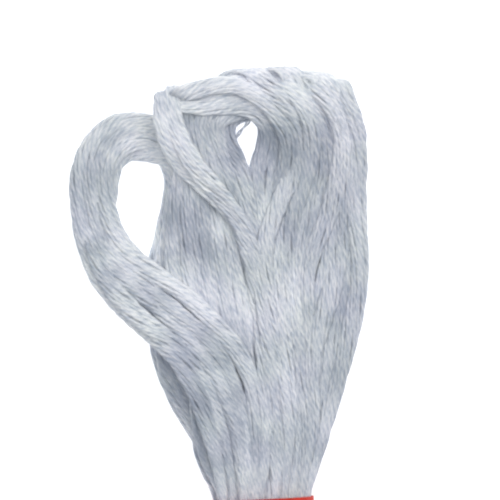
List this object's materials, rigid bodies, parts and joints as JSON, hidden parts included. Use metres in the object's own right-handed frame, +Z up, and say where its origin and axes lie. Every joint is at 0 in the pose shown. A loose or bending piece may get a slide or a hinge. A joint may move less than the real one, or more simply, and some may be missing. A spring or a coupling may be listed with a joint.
{
  "type": "skein of embroidery floss",
  "caption": "Flat skein of stranded cotton thread, folded head fanned out with a loose side loop, held by a paper band.",
  "frame": {"origin": "underside of the paper band, at the middle of its length and width, on the surface that the skein lies on", "axes": "+Y along the skein, from the plain tail to the fanned head; +Z up out of the surface; +X across the skein, away from the side loop"},
  "size_m": [0.03, 0.151, 0.0064],
  "materials": {
    "cotton": "mercerised cotton, six loosely twisted plies, pale silver white with a soft silky sheen",
    "red_paper": "coated paper, satin, plain red with no print"
  },
  "bodies": {
    "root": {"hank": "cotton", "paper_band": "red_paper"}
  },
  "joints": []
}
